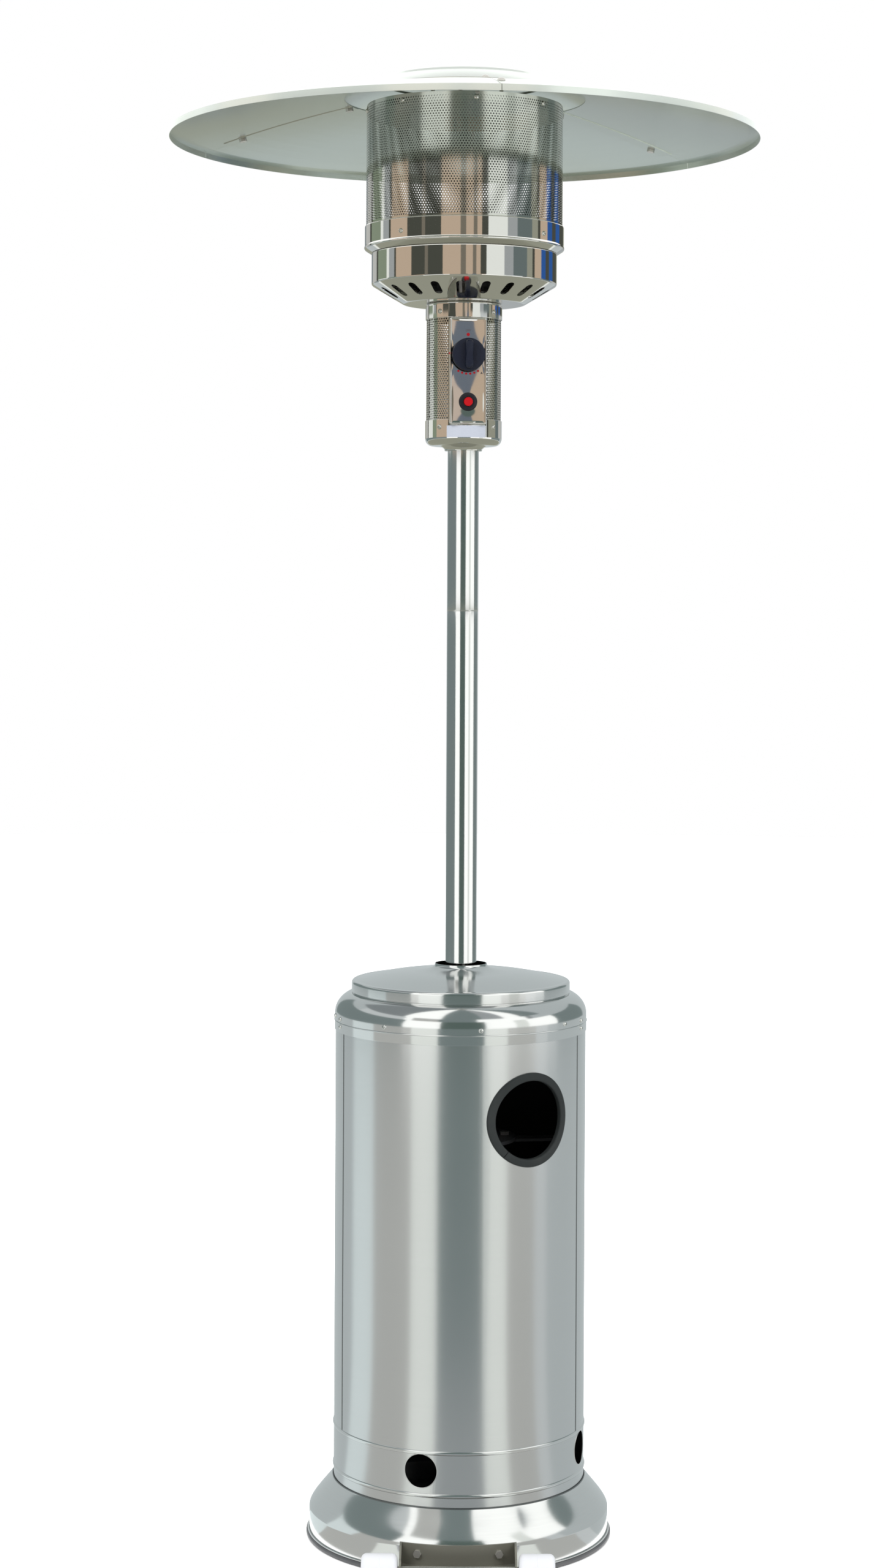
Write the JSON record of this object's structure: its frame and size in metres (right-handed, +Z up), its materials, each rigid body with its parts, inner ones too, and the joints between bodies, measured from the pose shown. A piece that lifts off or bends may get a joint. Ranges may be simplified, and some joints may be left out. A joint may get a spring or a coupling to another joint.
{
  "type": "patio heater",
  "caption": "Freestanding gas patio heater with round base, lift-up cylinder housing, pole, control head, emitter screen and dished reflector.",
  "frame": {"origin": "on the floor under the pole's axis, at the bottom centre of the bounding box", "axes": "+Z up along the pole, -Y towards the front where the control panel and the wheels are, +X to the viewer's right"},
  "size_m": [0.894, 0.894, 2.2159],
  "materials": {
    "stainless_brushed": "brushed",
    "stainless_polished": "polished",
    "stainless_perforated": "polished",
    "painted_steel": "satin",
    "bracket_steel": "satin",
    "zinc_steel": "zinc plated",
    "reflector_aluminium": "satin",
    "brass": "machined",
    "copper_tube": "drawn",
    "wheel_plastic": "satin",
    "trim_rubber": "matte",
    "black_plastic": "gloss",
    "knob_plastic": "satin",
    "button_plastic": "gloss",
    "ceramic": "glazed"
  },
  "bodies": {
    "stand": {"base_skirt": "stainless_brushed", "pole": "stainless_polished", "head_coupling": "stainless_polished", "control_cup": "stainless_polished", "control_panel": "stainless_polished", "control_collar": "stainless_polished", "burner_shell": "stainless_polished", "emitter_band": "stainless_polished", "control_screen": "stainless_perforated", "emitter_screen": "stainless_perforated", "screen_top_plate": "stainless_perforated", "base_plate": "painted_steel", "leg_front": "painted_steel", "leg_left": "painted_steel", "leg_right": "painted_steel", "pole_flange": "painted_steel", "burner_head": "painted_steel", "wheel_bracket": "bracket_steel", "leg_bolts": "zinc_steel", "socket_screws": "zinc_steel", "bracket_bolts": "zinc_steel", "wheel_axle": "zinc_steel", "axle_caps": "zinc_steel", "cup_screws": "zinc_steel", "collar_screws": "zinc_steel", "band_screws": "zinc_steel", "top_screws": "zinc_steel", "reflector_studs": "zinc_steel", "stud_nuts": "zinc_steel", "panel_bolts": "zinc_steel", "burner_tube": "zinc_steel", "pilot_burner": "zinc_steel", "reflector_disc": "reflector_aluminium", "reflector_panel_1": "reflector_aluminium", "reflector_panel_2": "reflector_aluminium", "reflector_panel_3": "reflector_aluminium", "gas_inlet": "brass", "gas_valve": "brass", "gas_tube": "copper_tube", "thermocouple": "copper_tube", "igniter_body": "black_plastic", "igniter_bezel": "black_plastic", "tilt_switch": "black_plastic", "spark_electrode": "ceramic"},
    "housing": {"lower_ring": "stainless_brushed", "front_wall": "stainless_brushed", "rear_wall": "stainless_brushed", "shoulder_ring": "stainless_brushed", "lid": "stainless_brushed", "hand_hole_trim": "trim_rubber", "shoulder_screws": "zinc_steel"},
    "plunger": {"valve_plunger": "brass"},
    "knob": {"valve_stem": "zinc_steel", "control_knob": "knob_plastic"},
    "igniter": {"igniter_button": "button_plastic"},
    "left_wheel": {"wheel_left": "wheel_plastic"},
    "right_wheel": {"wheel_right": "wheel_plastic"}
  },
  "joints": [
    {"name": "housing_lift", "type": "slide", "parent": "stand", "child": "housing", "axis": [0, 0, 1], "range_m": [0, 0.76]},
    {"name": "knob_press", "type": "slide", "parent": "stand", "child": "plunger", "axis": [-0.1132, 0.9936, 0], "range_m": [0, 0.004], "stiffness_N_per_m": 800, "springref_m": -0.002},
    {"name": "knob_turn", "type": "hinge", "parent": "plunger", "child": "knob", "pos_m": [0.00702, -0.0616, 1.7795], "axis": [0.1132, -0.9936, 0], "range_deg": [0, 220]},
    {"name": "igniter_push", "type": "slide", "parent": "stand", "child": "igniter", "axis": [-0.1132, 0.9936, 0], "range_m": [0, 0.0045], "stiffness_N_per_m": 300, "springref_m": -0.002},
    {"name": "wheel_left_spin", "type": "hinge", "parent": "stand", "child": "left_wheel", "pos_m": [-0.1125, -0.27, 0.026], "axis": [1, 0, 0], "continuous": true},
    {"name": "wheel_right_spin", "type": "hinge", "parent": "stand", "child": "right_wheel", "pos_m": [0.1125, -0.27, 0.026], "axis": [1, 0, 0], "continuous": true}
  ]
}
